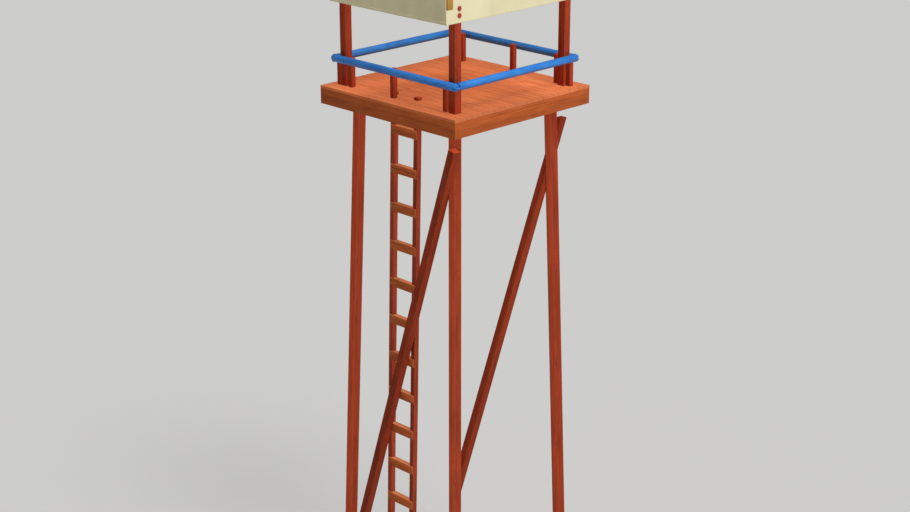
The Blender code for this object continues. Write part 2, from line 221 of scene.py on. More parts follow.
def merged_copy(node):
    """The shape of a CAD node with its loose triangles joined into whole faces."""
    shape = bmesh.new()
    shape.from_mesh(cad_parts[node].data)
    bmesh.ops.remove_doubles(shape, verts=shape.verts, dist=1e-5)
    bmesh.ops.dissolve_limit(shape, angle_limit=radians(1), verts=shape.verts, edges=shape.edges)
    return shape


def grain_frame(shape):
    """Directions along the grain, out of the broadest side, and across that side."""
    longest = max(shape.edges, key=lambda edge: edge.calc_length())
    along = (longest.verts[1].co - longest.verts[0].co).normalized()
    sides = [face for face in shape.faces if abs(face.normal.dot(along)) < 0.3]
    broadest = max(sides, key=lambda face: face.calc_area())
    out = (broadest.normal - along * broadest.normal.dot(along)).normalized()
    return Matrix((along, out, along.cross(out)))


def ease_edges(shape, radius, steps=2):
    """Round off a shape's sharp edges."""
    sharp = [edge for edge in shape.edges if edge.is_manifold and edge.calc_face_angle() > radians(20)]
    bmesh.ops.bevel(
        shape, geom=sharp, offset=radius, segments=steps, profile=0.6, affect="EDGES", clamp_overlap=True
    )


def set_vectors(mesh, name, values):
    """Keep a vector for each point of a mesh, under a name."""
    attribute = mesh.attributes.new(name, "FLOAT_VECTOR", "POINT")
    attribute.data.foreach_set("vector", numpy.array(values, numpy.float32).ravel())


def mark_grain(mesh, directions, chance, heart=0.02):
    """Give each point its place along and across the grain, and within the timber's section."""
    points = numpy.array([vertex.co for vertex in mesh.vertices])
    local = points @ numpy.array(directions).T
    middle = (local.max(0) + local.min(0)) / 2
    half = (local.max(0) - local.min(0)) / 2
    shift = (chance.uniform(5, 60), chance.uniform(-heart, heart), chance.uniform(-heart, heart))
    set_vectors(mesh, "grain", local - middle + numpy.array(shift))
    set_vectors(mesh, "section", ((local - middle) / half)[:, (1, 2, 0)])


def add_piece(name, shape, material):
    """A finished shape as an object at the origin, shaded smooth except at its hard edges."""
    mesh = bpy.data.meshes.new(name)
    shape.to_mesh(mesh)
    shape.free()
    mesh.shade_smooth()
    mesh.set_sharp_from_angle(angle=radians(38))
    mesh.materials.append(material)
    return add_object(name, mesh)


def fit(obj, slot, *nodes):
    """Fix a piece to the tower, in the place of the CAD nodes that it stands for."""
    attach(obj, "root")
    if nodes:
        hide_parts(*nodes)
    return obj


def dress_timber(node, material, slot, ease, seed, heart=0.02):
    """A timber on the lines of its CAD node, with eased edges and a grain of its own."""
    shape = merged_copy(node)
    directions = grain_frame(shape)
    ease_edges(shape, ease)
    obj = add_piece("timber_" + node, shape, material)
    mark_grain(obj.data, directions, Random(seed), heart)
    return fit(obj, slot, node)


def splashed(tree, colour):
    """Mud thrown up by rain on the lowest half metre."""
    place = own_place(tree)
    splash = noise(tree, place, 7.0, 5.0, 0.6)
    height = calculate(tree, "MULTIPLY_ADD", splash, -1.3, split(tree, place)[2])
    return blended(tree, ramped(tree, height, 0.05, -0.55, 0.0, 0.75), colour, MUD)


CORNERS = ("front_left", "front_right", "back_right", "back_left")
leg_wood = make_wood("leg_stain", LEG_PALE, LEG_DEEP, wear=0.35, wear_start=0.93, finish=splashed)
for number, corner in enumerate(CORNERS):
    dress_timber("leg_" + corner, leg_wood, "leg_timber", LEG_EASE, 11 + number)


# Braces: two square timbers that stiffen the front and the right side, let into the legs and
# drawn tight by two bolts at each end. They have a darker coat of the same stain, painted a fifth
# lighter on the front brace as painted light on its shaded side. Their sawn ends are painted pale,
# partly as a painted highlight.
BRACE_EASE = 0.007
BRACE_PALE = (0.282, 0.035, 0.010)
BRACE_DEEP = (0.156, 0.018, 0.005)
BRACE_BOLT = {"Head": 0.017, "Washer": 0.030, "Thickness": 0.004}
BOLT_STEPS = (-0.09, 0.09)
SAWN_END_STEPS = (0.14, 0.26)
LEG_HALF_DIAGONAL = 0.22 / 2 ** 0.5
RED_IRON = (0.500, 0.060, 0.035)
RED_RUST = (0.200, 0.050, 0.022)
BLACK_IRON = (0.062, 0.040, 0.036)
RUST = (0.150, 0.042, 0.022)

# The front brace's stain is raised by a fifth, as painted light on its shaded side.
for number, (side, strength) in enumerate((("front", 1.2), ("right", 1.0))):
    pale = tuple(strength * channel for channel in BRACE_PALE)
    deep = tuple(strength * channel for channel in BRACE_DEEP)
    brace_wood = make_wood(f"brace_{side}_stain_and_light", pale, deep, end_tone_and_light_gain=1.6, finish=splashed)
    dress_timber("brace_" + side, brace_wood, "post_timber", BRACE_EASE, 21 + number)


def make_iron(name, colour, rust):
    """Forged iron in an old coat, with rust where it has been rubbed off."""
    material, tree, shader = start_material(name, 0.55, gloss=0.35)
    spots = noise(tree, own_place(tree), 240.0, 3.0)
    coat = blended(tree, ramped(tree, spots, 0.45, 0.62), colour, rust)
    tree.links.new(coat, shader.inputs["Base Color"])
    add_bump(tree, shader, spots, 0.4, 0.0006)
    return material


def new_tree(name, sizes):
    """An empty geometry tree with named sizes as inputs and one geometry in and out."""
    tree = bpy.data.node_groups.new(name, "GeometryNodeTree")
    tree.interface.new_socket("Geometry", in_out="INPUT", socket_type="NodeSocketGeometry")
    for size_name in sizes:
        tree.interface.new_socket(size_name, in_out="INPUT", socket_type="NodeSocketFloat")
    tree.interface.new_socket("Geometry", in_out="OUTPUT", socket_type="NodeSocketGeometry")
    given = tree.nodes.new("NodeGroupInput").outputs
    return tree, given


def finish_tree(tree, geometry, material):
    """Make a tree's instances real and give them their material."""
    realised = add_step(tree, "GeometryNodeRealizeInstances", {0: geometry})
    sources = {"Geometry": realised.outputs[0], "Material": material}
    painted = add_step(tree, "GeometryNodeSetMaterial", sources)
    add_step(tree, "NodeGroupOutput", {0: painted.outputs[0]})


def grow(name, points, facings, tree, sizes, runs=None):
    """Run a tree on points, each with its facing and perhaps its run, and keep the mesh."""
    mesh = bpy.data.meshes.new(name)
    mesh.from_pydata([tuple(point) for point in points], [], [])
    set_vectors(mesh, "facing", facings)
    if runs:
        set_vectors(mesh, "run", runs)
    obj = add_object(name, mesh)
    modifier = obj.modifiers.new("growth", "NODES")
    modifier.node_group = tree
    for item in tree.interface.items_tree:
        if item.in_out == "INPUT" and item.name in sizes:
            modifier[item.identifier] = sizes[item.name]
    view = bpy.context.evaluated_depsgraph_get()
    result = bpy.data.meshes.new_from_object(obj.evaluated_get(view), depsgraph=view)
    obj.modifiers.clear()
    obj.data = result
    return obj


def attribute_vector(tree, name):
    step = add_step(tree, "GeometryNodeInputNamedAttribute", {"Name": name}, data_type="FLOAT_VECTOR")
    return step.outputs["Attribute"]


def placed_on_points(tree, points, shape, with_run=False):
    """Instances of a shape on points, turned so that its top faces out."""
    turn = "FunctionNodeAlignRotationToVector"
    sources = {"Vector": attribute_vector(tree, "facing")}
    rotation = add_step(tree, turn, sources, axis="Z").outputs[0]
    if with_run:
        sources = {"Rotation": rotation, "Vector": attribute_vector(tree, "run")}
        rotation = add_step(tree, turn, sources, axis="X", pivot_axis="Z").outputs[0]
    sources = {"Points": points, "Instance": shape, "Rotation": rotation}
    return add_step(tree, "GeometryNodeInstanceOnPoints", sources).outputs[0]


def disc(tree, sides, radius, depth, lift):
    """A flat round or hexagonal plate, lifted by a height above its point."""
    sources = {"Vertices": sides, "Radius": radius, "Depth": depth}
    plate = add_step(tree, "GeometryNodeMeshCylinder", sources)
    middle = calculate(tree, "MULTIPLY_ADD", depth, 0.5, lift)
    lifting = add_step(tree, "ShaderNodeCombineXYZ", {"Z": middle})
    sources = {"Geometry": plate.outputs[0], "Translation": lifting.outputs[0]}
    return add_step(tree, "GeometryNodeTransform", sources).outputs[0]


def bolt_tree(material):
    """A six-sided bolt head with the bolt's end on a round washer."""
    tree, given = new_tree("bolts", ("Head", "Washer", "Thickness"))
    joined = add_step(tree, "GeometryNodeJoinGeometry")
    head, washer, thickness = given["Head"], given["Washer"], given["Thickness"]
    end_radius = calculate(tree, "MULTIPLY", head, 0.55)
    head_depth = calculate(tree, "MULTIPLY", thickness, 2.6)
    end_lift = calculate(tree, "MULTIPLY", thickness, 3.6)
    parts = (
        disc(tree, 24, washer, thickness, 0.0),
        disc(tree, 6, head, head_depth, thickness),
        disc(tree, 16, end_radius, thickness, end_lift),
    )
    for part in reversed(parts):
        tree.links.new(part, joined.inputs[0])
    finish_tree(tree, placed_on_points(tree, given["Geometry"], joined.outputs[0]), material)
    return tree


red_bolts = bolt_tree(make_iron("red_iron", RED_IRON, RED_RUST))
black_bolts = bolt_tree(make_iron("black_iron", BLACK_IRON, RUST))


def add_fixings(name, places, slot, kind, sizes):
    """Bolts or nails as one piece, each at a place with its facing."""
    points, facings = zip(*places)
    return fit(grow(name, points, facings, kind, sizes), slot)


def broad_face(shape, way):
    """Middle and direction of the broadest face that looks a given way."""
    face = max(shape.faces, key=lambda side: side.normal.dot(way) * side.calc_area())
    return face.calc_center_median(), face.normal.copy()


def brace_bolts(node, way, legs):
    """Two bolts at each leg, on the brace's face that looks a given way, by steps along it."""
    shape = merged_copy(node)
    directions = grain_frame(shape)
    along = directions[0] if directions[0].z > 0 else -directions[0]
    on_face, normal = broad_face(shape, way)
    shape.free()
    places = []
    for leg, steps in legs.items():
        low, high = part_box(leg)
        right = "right" in leg
        back = "back" in leg
        outwards = LEG_HALF_DIAGONAL * Vector((1 if right else -1, 1 if back else -1, 0))
        foot = Vector((high.x if right else low.x, high.y if back else low.y, 0.0)) - outwards
        head = Vector((low.x if right else high.x, low.y if back else high.y, high.z)) + outwards
        axis = (head - foot).normalized()
        across = along.cross(axis)
        gap = on_face - foot
        reach = gap.cross(axis).dot(across) / across.length_squared
        crossing = on_face - along * reach
        for step in steps:
            places.append((crossing + along * step, normal))
    return places


front_legs = {"leg_front_left": BOLT_STEPS, "leg_front_right": BOLT_STEPS}
right_legs = {"leg_front_right": SAWN_END_STEPS, "leg_back_right": BOLT_STEPS}
front_places = brace_bolts("brace_front", Vector((0, -1, 0)), front_legs)
right_places = brace_bolts("brace_right", Vector((-1, 0, 0)), right_legs)
brace_places = front_places + right_places
add_fixings("brace_bolts", brace_places, "post_timber", black_bolts, BRACE_BOLT)


# Ladder: two square stiles and fourteen deep rungs whose thinner ends are let into the stiles'
# front faces, each held by two nails at either end. The stiles are stained, the rungs bare, with
# their tops painted paler, partly as scuffs and partly as a painted highlight.
LADDER_EASE = 0.005
STILE_PALE = (0.396, 0.057, 0.021)
STILE_DEEP = (0.228, 0.030, 0.011)
RUNG_PALE = (0.630, 0.152, 0.038)
RUNG_DEEP = (0.315, 0.063, 0.016)
# Paler tone for the rungs' tops, partly scuffs and partly a painted highlight.
SCUFF_AND_TOP_LIGHT = (1.08, 1.50, 2.30)
RUNG_COUNT = 14
RUNG_NAIL = {"Head": 0.0075}
RUNG_NAIL_STEP = 0.042
RUNG_NAIL_STAGGER = 0.3
NAIL_IRON = (0.105, 0.085, 0.075)
NAIL_RUST = (0.130, 0.050, 0.025)


def scuffed_and_lit_tops(tree, colour):
    """Rungs painted paler on their upward faces, partly scuffs where boots and hands land and partly a
    painted highlight where light falls from above.
    """
    facing = split(tree, add_step(tree, "ShaderNodeTexCoord").outputs["Normal"])
    return blended(tree, ramped(tree, facing[2], 0.55, 0.90), colour, SCUFF_AND_TOP_LIGHT, "MULTIPLY")


stile_wood = make_wood("stile_stain", STILE_PALE, STILE_DEEP, wear_start=0.86, finish=splashed)
rung_wood = make_wood(
    "rung_wood", RUNG_PALE, RUNG_DEEP, ring_scale=34.0, wear=0.7, wear_start=0.80, finish=scuffed_and_lit_tops
)
for number, side in enumerate(("left", "right")):
    dress_timber("ladder_stile_" + side, stile_wood, "post_timber", LADDER_EASE, 31 + number)
rungs = [f"rung_{number:02d}" for number in range(1, RUNG_COUNT + 1)]
for number, node in enumerate(rungs):
    dress_timber(node, rung_wood, "rung_timber", LADDER_EASE, 41 + number, heart=0.05)


def nail_tree(material):
    """A low domed nail head."""
    tree, given = new_tree("nails", ("Head",))
    sources = {"Segments": 10, "Rings": 5, "Radius": given["Head"]}
    dome = add_step(tree, "GeometryNodeMeshUVSphere", sources)
    sources = {"Geometry": dome.outputs[0], "Scale": (1.0, 1.0, 0.32)}
    flat = add_step(tree, "GeometryNodeTransform", sources)
    finish_tree(tree, placed_on_points(tree, given["Geometry"], flat.outputs[0]), material)
    return tree


nails = nail_tree(make_iron("nail_iron", NAIL_IRON, NAIL_RUST))
stile_middle = (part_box("ladder_stile_right")[0].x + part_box("ladder_stile_right")[1].x) / 2
rung_places = []
for node in rungs:
    shape = merged_copy(node)
    middle, normal = broad_face(shape, Vector((0, -1, 0)))
    shape.free()
    up = normal.cross(Vector((-1, 0, 0)))
    for x in (-stile_middle, stile_middle):
        for step in (-RUNG_NAIL_STEP, RUNG_NAIL_STEP):
            place = middle + Vector((x + step * RUNG_NAIL_STAGGER, 0, 0)) + up * step
            rung_places.append((place, normal))
add_fixings("rung_nails", rung_places, "rung_timber", nails, RUNG_NAIL)


# Platform frame: four rim beams round two bearers and two joists, nailed through the rims. All
# are orange-brown sawn timber under a thin clear stain.
RIM_EASE = 0.006
RIM_PALE = (0.515, 0.116, 0.026)
RIM_DEEP = (0.304, 0.060, 0.013)
RIM_NAIL = {"Head": 0.010}
RIM_NAIL_INSET = 0.03
BEARER_NAIL_SHARES = (0.3, 0.7)
CORNER_NAIL_SHARES = (0.15, 0.5, 0.85)

rim_wood = make_wood(
    "rim_stain", RIM_PALE, RIM_DEEP, ring_scale=22.0, wear=0.35, wear_start=0.95, end_tone_and_light_gain=0.8
)
for number, side in enumerate(("front", "right", "back", "left")):
    dress_timber("rim_" + side, rim_wood, "deck_timber", RIM_EASE, 61 + number, heart=0.09)
for number, node in enumerate(("bearer_left", "bearer_right", "joist_left", "joist_right")):
    dress_timber(node, rim_wood, "deck_timber", RIM_EASE, 66 + number, heart=0.05)

rim_low, rim_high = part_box("rim_front")
rim_nails = []
for way in (-1, 1):
    for node in ("bearer_right", "joist_right"):
        low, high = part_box(node)
        x = (low.x + high.x) / 2
        for side in (-x, x):
            for share in BEARER_NAIL_SHARES:
                z = low.z + (high.z - low.z) * share
                rim_nails.append(((side, way * deck_edge, z), (0, way, 0)))
    for side in (-1, 1):
        for share in CORNER_NAIL_SHARES:
            z = rim_low.z + (rim_high.z - rim_low.z) * share
            rim_nails.append(((side * (deck_edge - RIM_NAIL_INSET), way * deck_edge, z), (0, way, 0)))
add_fixings("rim_nails", rim_nails, "deck_timber", nails, RIM_NAIL)


# Platform top: twenty-five softwood boards across the frame, a few millimetres apart, nailed at
# each bearer, joist and rim. The middle of five of them lifts out as the hatch over the ladder.
BOARD_COUNT = 25
BOARD_GAP = 0.004
BOARD_EASE = 0.003
BOARD_PALE = (0.712, 0.199, 0.072)
BOARD_DEEP = (0.495, 0.116, 0.038)
# Gain for the painted light on the boards along the left and the back.
PAINTED_LIGHT_GAIN = (1.30, 1.32, 1.36)
BOARD_SINK = 0.0012
BOARD_UNEVEN = 0.0015
BOARD_TILT = 0.0012
BOARD_SHORT = 0.003
BOARD_NAIL_ROWS = (-1.67, -1.21, -0.395, 0.395, 1.21, 1.67)
BOARD_NAIL_STEP = 0.038
BOARD_NAIL = {"Head": 0.0065}
BOARD_NAIL_SINK = 0.0020
BOARD_NAIL_STRAY = 0.004
HATCH_GAP = 0.003
STILE_DEPTH = 0.10
STILE_LEAN = 0.009
STILE_GAP = 0.004


def painted_light_bands(tree, colour):
    """Boards painted lighter in a band along the left and the back: a painted pool of light where the
    sun reaches in past the canopy.
    """
    place = own_place(tree)
    x, y, _ = split(tree, place)
    shift = calculate(tree, "MULTIPLY_ADD", noise(tree, place, 2.2, 3.0), 0.5, -0.25)
    from_left = calculate(tree, "SUBTRACT", shift, x)
    from_back = calculate(tree, "ADD", y, shift)
    reach = calculate(tree, "MAXIMUM", from_left, from_back)
    rise = ramped(tree, reach, 0.45, 1.05)
    fall = ramped(tree, reach, 1.15, 1.60, 1.0, 0.35)
    share = calculate(tree, "MULTIPLY", rise, fall)
    return blended(tree, share, colour, PAINTED_LIGHT_GAIN, "MULTIPLY")


board_look = {"ring_scale": 30.0, "wear": 0.30, "wear_start": 0.94, "end_tone_and_light_gain": 0.8}
# The boards' finish paints a band of light along the left and the back.
board_wood = make_wood("board_wood", BOARD_PALE, BOARD_DEEP, finish=painted_light_bands, **board_look)
board_low, board_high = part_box("deck_boards")
lid_low, lid_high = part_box("hatch_lid")
board_pitch = 2 * deck_edge / BOARD_COUNT
hatch_side = lid_high.x + HATCH_GAP


def board_outline(left, right, front, back, notches):
    """Corners of a board seen from above, with notches cut from its front or back edge."""
    front_edge = [(left, front)]
    back_edge = []
    for low_x, high_x, low_y, high_y in notches:
        if low_y <= front < high_y:
            front_edge += [(low_x, front), (low_x, high_y), (high_x, high_y), (high_x, front)]
        if low_y < back <= high_y:
            back_edge = [(high_x, back), (high_x, low_y), (low_x, low_y), (low_x, back)] + back_edge
    return front_edge + [(right, front), (right, back)] + back_edge + [(left, back)]


def add_board(name, outline, chance):
    """A board of the given outline, a little uneven in its height, with eased edges."""
    shape = bmesh.new()
    sink = chance.uniform(0.0, BOARD_UNEVEN)
    tilt = chance.uniform(-BOARD_TILT, BOARD_TILT)
    front = min(y for _, y in outline)
    back = max(y for _, y in outline)
    rows = []
    for base in (board_low.z, board_high.z - BOARD_SINK - sink):
        row = []
        for x, y in outline:
            share = (y - front) / (back - front) - 0.5
            lift = tilt * share if base > board_low.z else 0.0
            row.append(shape.verts.new((x, y, base + lift)))
        rows.append(row)
    shape.faces.new(list(reversed(rows[0])))
    shape.faces.new(rows[1])
    for here in range(len(outline)):
        after = (here + 1) % len(outline)
        shape.faces.new((rows[0][here], rows[0][after], rows[1][after], rows[1][here]))
    ease_edges(shape, BOARD_EASE)
    bmesh.ops.recalc_face_normals(shape, faces=shape.faces)
    obj = add_piece(name, shape, board_wood)
    mark_grain(obj.data, Matrix.Identity(3), chance, heart=0.12)
    return obj


stile_holes = []
for side in ("left", "right"):
    low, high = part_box("ladder_stile_" + side)
    hole_back = high.y + STILE_GAP
    hole_front = hole_back - STILE_DEPTH - STILE_LEAN
    stile_holes.append((low.x - STILE_GAP, high.x + STILE_GAP, hole_front, hole_back))

chance = Random(5)
top_boards = []
lid_boards = []
board_nails = []
for number in range(BOARD_COUNT):
    front = -deck_edge + board_pitch * number + BOARD_GAP / 2
    back = front + board_pitch - BOARD_GAP
    if number == 0:
        front -= BOARD_GAP / 2
    if number == BOARD_COUNT - 1:
        back += BOARD_GAP / 2
    middle = (front + back) / 2
    over_hatch = lid_low.y < middle < lid_high.y
    spans = [(-deck_edge, deck_edge)]
    if over_hatch:
        spans = [(-deck_edge, -hatch_side), (hatch_side, deck_edge)]
        lid_front = max(front, lid_low.y)
        lid_back = min(back, lid_high.y)
        outline = board_outline(lid_low.x, lid_high.x, lid_front, lid_back, ())
        lid_boards.append(add_board(f"lid_board_{number:02d}", outline, chance))
    for left, right in spans:
        short_left = chance.uniform(0.0, BOARD_SHORT) if left < -1 else 0.0
        short_right = chance.uniform(0.0, BOARD_SHORT) if right > 1 else 0.0
        notches = () if over_hatch else stile_holes
        outline = board_outline(left + short_left, right - short_right, front, back, notches)
        top_boards.append(add_board(f"board_{number:02d}_{len(top_boards):02d}", outline, chance))
    for x in BOARD_NAIL_ROWS:
        for step in (-BOARD_NAIL_STEP, BOARD_NAIL_STEP):
            nail_x = x + chance.uniform(-BOARD_NAIL_STRAY, BOARD_NAIL_STRAY)
            place = (nail_x, middle + step, board_high.z - BOARD_NAIL_SINK)
            board_nails.append((place, (0, 0, 1)))


def join(name, pieces):
    """Several meshes of one finish as one piece, with their attributes kept."""
    with bpy.context.temp_override(active_object=pieces[0], selected_editable_objects=pieces):
        bpy.ops.object.join()
    pieces[0].name = name
    return pieces[0]


fit(join("platform_boards", top_boards), "deck_timber", "deck_boards")
fit(join("hatch_boards", lid_boards), "deck_timber", "hatch_lid")
add_fixings("board_nails", board_nails, "deck_timber", nails, BOARD_NAIL)


# Posts: four main posts that carry the canopy and eight short ones that carry the rails, all
# square sawn timber in the red-brown stain, skew-nailed to the boards at their feet.
POST_EASE = 0.006
POST_PALE = (0.420, 0.053, 0.017)
POST_DEEP = (0.258, 0.030, 0.010)
FOOT_NAIL = {"Head": 0.0075}
FOOT_NAIL_LIFT = 0.03
FOOT_NAIL_SLANT = 0.3

post_wood = make_wood("post_stain", POST_PALE, POST_DEEP)
foot_nails = []
post_nodes = ["post_" + corner for corner in CORNERS]
post_nodes += [f"rail_post_{side}_{number}" for side in ("front", "back") for number in range(1, 5)]
for number, node in enumerate(post_nodes):
    dress_timber(node, post_wood, "post_timber", POST_EASE, 81 + number)
    low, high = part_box(node)
    middle = (low + high) / 2
    nail_z = low.z + FOOT_NAIL_LIFT
    for way in (-1, 1):
        nail_x = middle.x + way * (high.x - low.x) / 4
        nail_y = middle.y + way * (high.y - low.y) / 4
        foot_nails.append(((nail_x, low.y, nail_z), (0, -1, FOOT_NAIL_SLANT)))
        foot_nails.append(((high.x, nail_y, nail_z), (1, 0, FOOT_NAIL_SLANT)))
add_fixings("post_foot_nails", foot_nails, "post_timber", nails, FOOT_NAIL)


# Rails: four round poles in bright blue paint, halved over each other at the corners and bolted
# to the outside of the posts. Brush marks run along them, and the same paint covers the bolts.
RAIL_HEIGHT = 0.492
RAIL_EASE = 0.003
RAIL_BOLT = {"Head": 0.011, "Washer": 0.018, "Thickness": 0.003}
LAP_BOLT_SINK = 0.001
POST_CENTRE = 1.365
POST_FACE = 1.44
BLUE_PALE = (0.033, 0.227, 0.655)
BLUE_DEEP = (0.018, 0.144, 0.466)
PRIMER = (0.420, 0.400, 0.370)


def make_paint(name, pale, deep):
    """Thick brushed paint on wood, chipped to the primer and the wood below."""
    material, tree, shader = start_material(name, 0.42, gloss=0.35)
    grain = read_attribute(tree, "grain")
    brush = noise(tree, scaled(tree, grain, (0.05, 1.0, 1.0)), 120.0, 2.0)
    patches = noise(tree, scaled(tree, grain, (0.5, 1.0, 1.0)), 5.0, 3.0)
    tone = calculate(tree, "MULTIPLY_ADD", brush, 0.45, calculate(tree, "MULTIPLY", patches, 0.55))
    colour = blended(tree, ramped(tree, tone, 0.35, 0.65), deep, pale)
    flakes = noise(tree, scaled(tree, grain, (0.4, 1.0, 1.0)), 34.0, 5.0, 0.62)
    chips = ramped(tree, flakes, 0.690, 0.700)
    rims = ramped(tree, flakes, 0.672, 0.682)
    colour = blended(tree, rims, colour, PRIMER)
    colour = blended(tree, chips, colour, BARE_WOOD)
    tree.links.new(colour, shader.inputs["Base Color"])
    height = calculate(tree, "SUBTRACT", calculate(tree, "MULTIPLY", brush, 0.35), rims)
    add_bump(tree, shader, height, 0.5, 0.0012)
    return material


blue_paint = make_paint("blue_paint", BLUE_PALE, BLUE_DEEP)
blue_bolts = bolt_tree(make_iron("blue_iron", BLUE_PALE, RUST))
rail_bolts = []
centre_z = deck_top + RAIL_HEIGHT
rail_sides = {"front": (0, -1), "right": (1, 0), "back": (0, 1), "left": (-1, 0)}
for number, (side, outward) in enumerate(rail_sides.items()):
    node = "rail_" + side
    dress_timber(node, blue_paint, "rail_paint", RAIL_EASE, 101 + number)
    low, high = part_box(node)
    places = [-POST_CENTRE, POST_CENTRE]
    if not outward[0]:
        for post in range(1, 5):
            post_low, post_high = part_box(f"rail_post_{side}_{post}")
            middle_x = (post_low.x + post_high.x) / 2
            if abs(middle_x) < POST_FACE:
                places.append(middle_x)
    for place in places:
        if outward[0]:
            point = (high.x if outward[0] > 0 else low.x, place, centre_z)
        else:
            point = (place, high.y if outward[1] > 0 else low.y, centre_z)
        rail_bolts.append((point, (*outward, 0)))
right_low, right_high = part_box("rail_right")
lap = (right_low.x + right_high.x) / 2
for x in (-lap, lap):
    for y in (-lap, lap):
        rail_bolts.append(((x, y, right_high.z - LAP_BOLT_SINK), (0, 0, 1)))
add_fixings("rail_bolts", rail_bolts, "rail_paint", blue_bolts, RAIL_BOLT)


# Canopy frame: two plates on the posts, two cross beams bolted under the plates' ends, and four
# hip rafters to the peak, all gold-brown planed timber. The beams' ends show past the canvas.
BEAM_EASE = 0.005
BEAM_PALE = (0.400, 0.215, 0.046)
BEAM_DEEP = (0.250, 0.125, 0.024)

beam_wood = make_wood("beam_wood", BEAM_PALE, BEAM_DEEP, wear=0.3, wear_start=0.92)
beam_nodes = ["plate_left", "plate_right", "cross_beam_front", "cross_beam_back"]
beam_nodes += ["hip_" + corner for corner in CORNERS]
for number, node in enumerate(beam_nodes):
    dress_timber(node, beam_wood, "beam_timber", BEAM_EASE, 121 + number, heart=0.04)


# Canopy: one sheet of heavy cream canvas, sewn from four sloping gores and four skirts that
# hang from the eaves. It is pulled tight over the hips and notched round the beams' ends.
CLOTH = 0.0022
CANVAS_SAG = 0.030
EAVE_SAG = 0.012
PUCKER = 0.0035
SKIRT_OUT = 0.004
SKIRT_WAVE = 0.013
FIRST_DROP = 0.02
HEM_WIDTH = 0.045
CANVAS_PALE = (0.800, 0.730, 0.475)
CANVAS_DEEP = (0.700, 0.620, 0.385)
CANVAS_STAIN = (0.46, 0.36, 0.20)
CANVAS_GAPS = (0.50, 0.44, 0.28)
THREAD_PITCH = 0.0030
EAVE_HEIGHT = 2.134
PEAK_DROP = 0.002
NOTCH_GAP = 0.006
SLOPE_RINGS = 34
FRONT_COLUMNS = 144
SIDE_COLUMNS = 148
CORNER_COLUMNS = 6

gore_front_low, gore_front_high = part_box("canopy_front")
gore_right_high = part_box("canopy_right")[1]
sheet_x = gore_right_high.x - CLOTH
sheet_y = -gore_front_low.y - CLOTH
hem_z = gore_front_low.z
peak_z = gore_front_high.z - PEAK_DROP
eave_z = deck_top + EAVE_HEIGHT
skirt_drop = eave_z - hem_z
beam_low, beam_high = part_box("cross_beam_front")
notch_y = -beam_high.y - NOTCH_GAP
notch_low = beam_low.z - NOTCH_GAP
notch_high = beam_high.z + NOTCH_GAP


def spread_out(start, end, count):
    """Evenly spaced places from the start up to, but not at, the end."""
    return [start + (end - start) * step / count for step in range(count)]


def eave_loop():
    """Points round the eaves, from the front left corner, with columns at each notch's edge."""
    loop = []
    for x, y in ((0, -1), (1, 0), (0, 1), (-1, 0)):
        if y:
            length = sheet_x
            places = spread_out(-length, length, FRONT_COLUMNS)
        else:
            length = sheet_y
            places = spread_out(-length, -notch_y, CORNER_COLUMNS)
            places += spread_out(-notch_y, notch_y, SIDE_COLUMNS)
            places += spread_out(notch_y, length, CORNER_COLUMNS)
        for place in places:
            run = place if (y < 0 or x > 0) else -place
            point = (run, y * sheet_y) if y else (x * sheet_x, run)
            share = 1 - (place / length) ** 2
            loop.append((point, (x, y), share))
    return loop


def ripple(along, seed):
    """Gentle uneven waves along a skirt, never less than zero."""
    waves = 0.0
    for length, phase, weight in ((0.71, 0.4, 0.5), (0.43, 1.9, 0.3), (0.29, 4.1, 0.2)):
        waves += weight * (0.5 + 0.5 * sin(2 * pi * along / length + phase + seed))
    return waves


def pucker(along, seed):
    """Small creases either way, where the eave's seam draws the cloth up."""
    swell = 0.5 + 0.5 * sin(2 * pi * along / 0.83 + seed)
    creases = sin(2 * pi * along / 0.117 + 1.3 * seed) * swell
    return 0.6 * creases + 0.4 * sin(2 * pi * along / 0.191 + 2.1 * seed)


def make_canvas(name, pale, deep):
    """Plain-woven cotton duck, a little stained."""
    material, tree, shader = start_material(name, 0.92)
    shader.inputs["Sheen Weight"].default_value = 0.12
    place = own_place(tree)
    cloth = read_attribute(tree, "cloth")
    threads = []
    for part in split(tree, cloth)[:2]:
        turn = calculate(tree, "MULTIPLY", part, 2 * pi / THREAD_PITCH)
        threads.append(calculate(tree, "SINE", turn))
    weave = calculate(tree, "MULTIPLY", *threads)
    slubs = noise(tree, scaled(tree, cloth, (1.0, 14.0, 1.0)), 30.0, 2.0)
    clouds = noise(tree, place, 0.9, 3.0)
    drips = noise(tree, scaled(tree, place, (1.0, 1.0, 0.35)), 3.2, 5.0)
    stains = ramped(tree, drips, 0.52, 0.82)
    tone = calculate(tree, "MULTIPLY_ADD", slubs, 0.35, calculate(tree, "MULTIPLY", clouds, 0.65))
    colour = blended(tree, ramped(tree, tone, 0.34, 0.66), deep, pale)
    colour = blended(tree, calculate(tree, "MULTIPLY", stains, 0.22), colour, CANVAS_STAIN)
    colour = blended(tree, calculate(tree, "MULTIPLY_ADD", weave, 0.04, 0.04), colour, CANVAS_GAPS)
    tree.links.new(colour, shader.inputs["Base Color"])
    add_bump(tree, shader, calculate(tree, "MULTIPLY_ADD", weave, 0.5, slubs), 0.25, 0.0009)
    return material


canvas = make_canvas("cream_canvas", CANVAS_PALE, CANVAS_DEEP)


def slope_point(place, outward, share, reach):
    """A point of a sloping gore, on the line from the peak to a place on the eave."""
    x, y = place
    along = x * abs(outward[1]) + y * abs(outward[0])
    point = Vector((0.0, 0.0, peak_z)).lerp(Vector((x, y, eave_z)), reach)
    point.z -= CANVAS_SAG * share * sin(pi * reach) ** 1.2 + EAVE_SAG * share * reach ** 4
    point.z += PUCKER * pucker(along, outward[0] + 2 * outward[1]) * min(1.0, 3 * share) * reach ** 9
    return point


